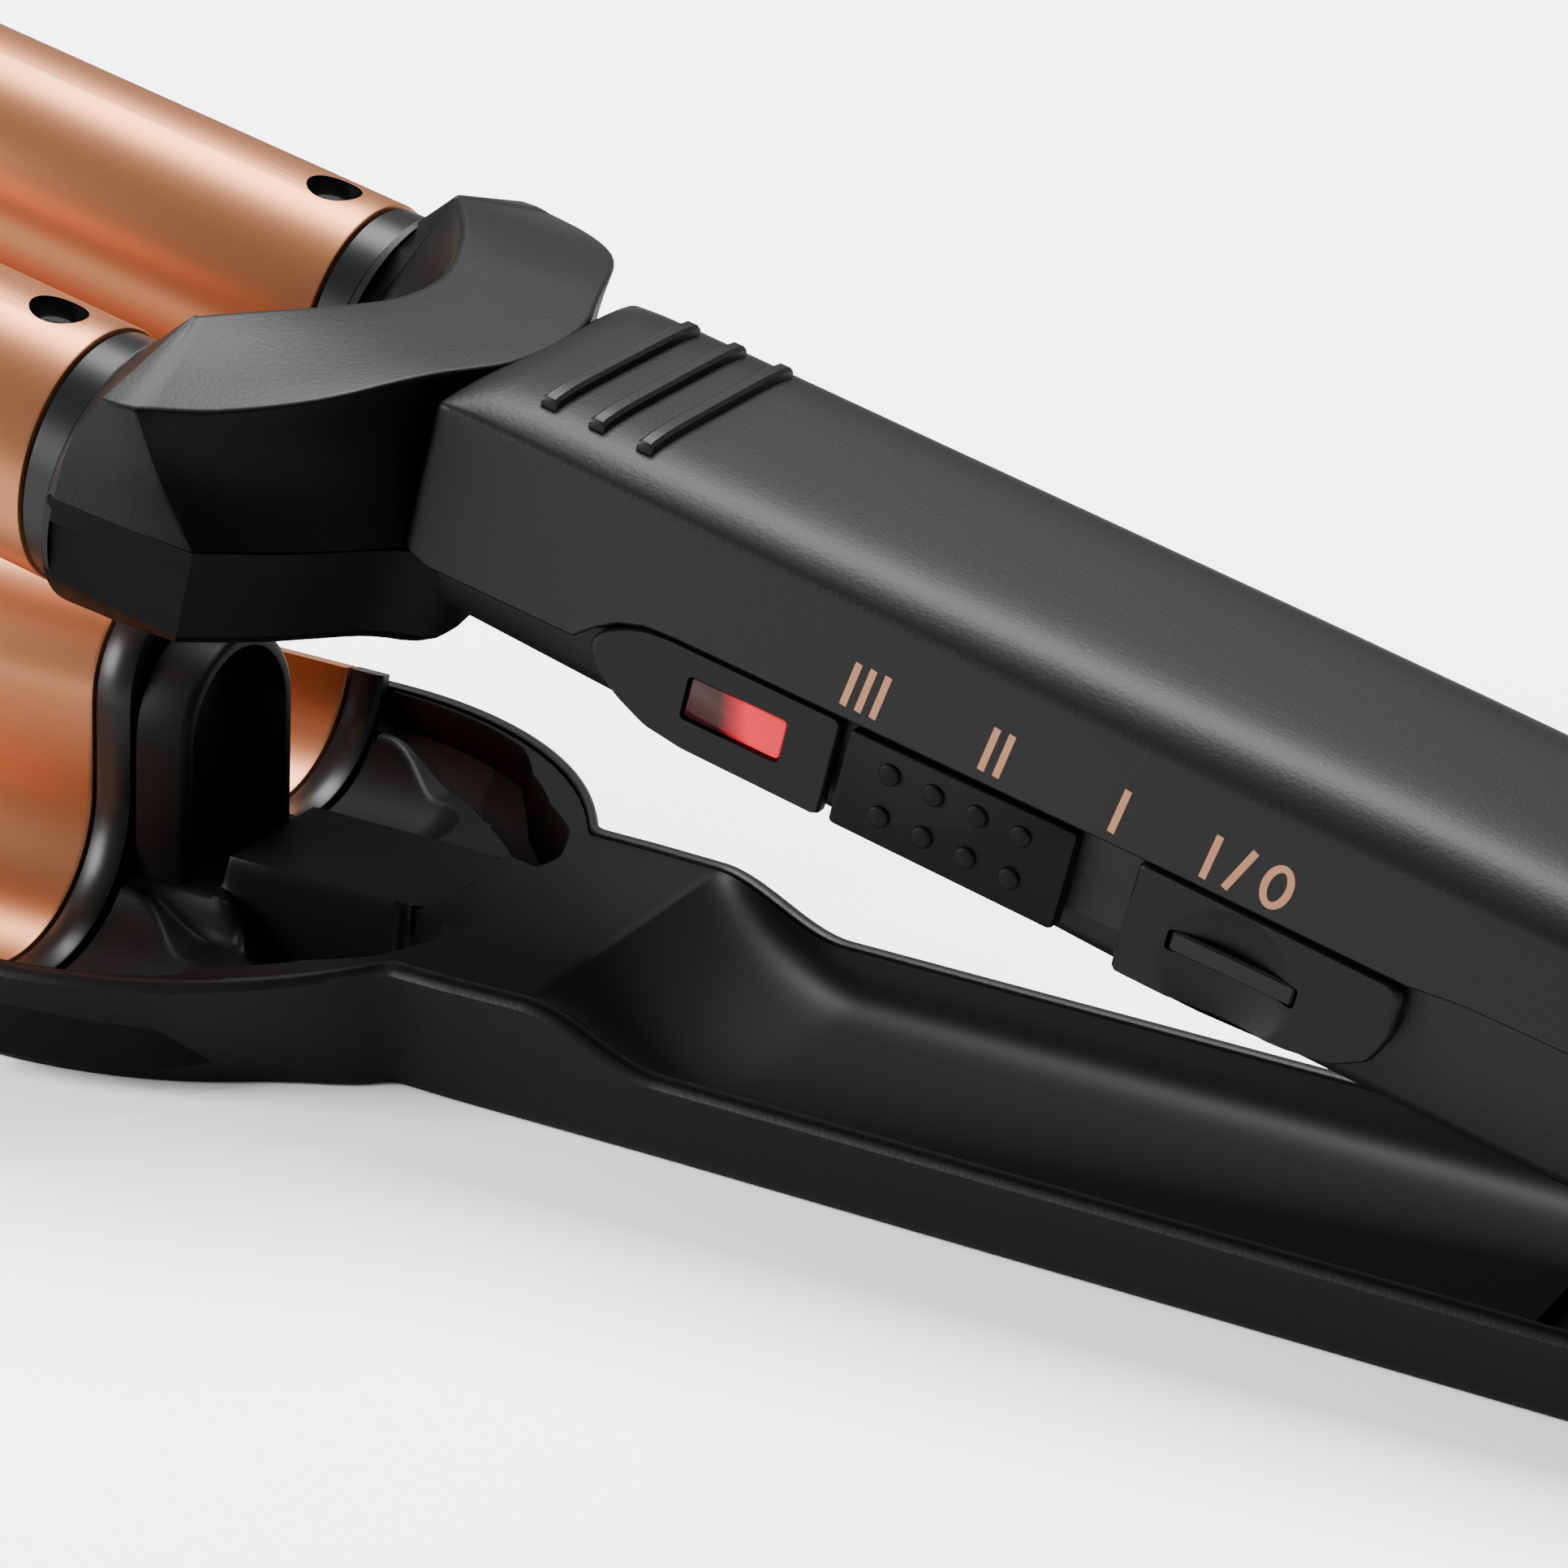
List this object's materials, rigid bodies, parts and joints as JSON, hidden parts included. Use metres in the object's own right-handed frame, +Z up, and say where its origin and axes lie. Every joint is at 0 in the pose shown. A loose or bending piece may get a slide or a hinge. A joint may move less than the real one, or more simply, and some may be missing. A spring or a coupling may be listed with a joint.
{
  "type": "hair crimper",
  "caption": "Corded deep-wave hair crimper with round copper barrels on a sprung upper arm that closes over a wave plate; heat slider and power key on its side.",
  "frame": {"origin": "on the flat underside of the head pan, on the centre line, below the front face of the upper arm's fork", "axes": "+X from the tips toward the cord end, +Y away from the control side, +Z up from the surface it lies on"},
  "size_m": [0.3298, 0.0732, 0.0859],
  "materials": {
    "black_shell": "fine-textured satin black ABS",
    "satin_collar": "smooth satin black heat-resistant plastic",
    "copper_barrel": "rose-copper ceramic-coated aluminium",
    "red_lens": "clear red lens",
    "steel": "zinc-plated steel",
    "board": "green circuit board",
    "ceramic": "white ceramic heater block",
    "rubber": "black rubber"
  },
  "bodies": {
    "lower_arm": {"lower_shell": "black_shell", "lower_liner": "black_shell", "wave_plate": "copper_barrel", "plate_gasket": "satin_collar", "plate_end_boss": "black_shell", "lower_tip_cap": "black_shell", "plate_heater": "ceramic", "heater_clamp": "steel", "thermal_fuse": "steel", "liner_screw_front": "steel", "liner_screw_rear": "steel", "hinge_pin": "steel", "hinge_spring": "steel", "wire_boot": "rubber"},
    "upper_arm": {"upper_shell": "black_shell", "under_shell": "black_shell", "near_barrel": "copper_barrel", "far_barrel": "copper_barrel", "near_collar": "satin_collar", "far_collar": "satin_collar", "near_barrel_cap": "satin_collar", "far_barrel_cap": "satin_collar", "near_barrel_screw": "steel", "far_barrel_screw": "steel", "near_heater": "ceramic", "far_heater": "ceramic", "lamp_panel": "black_shell", "rear_panel": "black_shell", "lamp_lens": "red_lens", "indicator_led": "ceramic", "slider_track": "black_shell", "slide_switch": "steel", "power_switch": "black_shell", "circuit_board": "board", "board_capacitor": "rubber", "rear_cap": "black_shell", "cord_gland": "rubber"},
    "heat_slider_body": {"heat_slider": "black_shell"},
    "power_key_body": {"power_key": "black_shell"}
  },
  "joints": [
    {"name": "arm_hinge", "type": "hinge", "parent": "lower_arm", "child": "upper_arm", "pos_m": [0.1719, 0, 0.0111], "axis": [0, -1, 0], "range_deg": [0, 11.5], "stiffness_Nm_per_rad": 0.8, "springref_deg": -40.11},
    {"name": "heat_slide", "type": "slide", "parent": "upper_arm", "child": "heat_slider_body", "axis": [0.9796, 0, -0.2007], "range_m": [0, 0.005]},
    {"name": "power_push", "type": "slide", "parent": "upper_arm", "child": "power_key_body", "axis": [0, 1, 0], "range_m": [0, 0.0012], "stiffness_N_per_m": 400, "springref_m": -0.002}
  ]
}
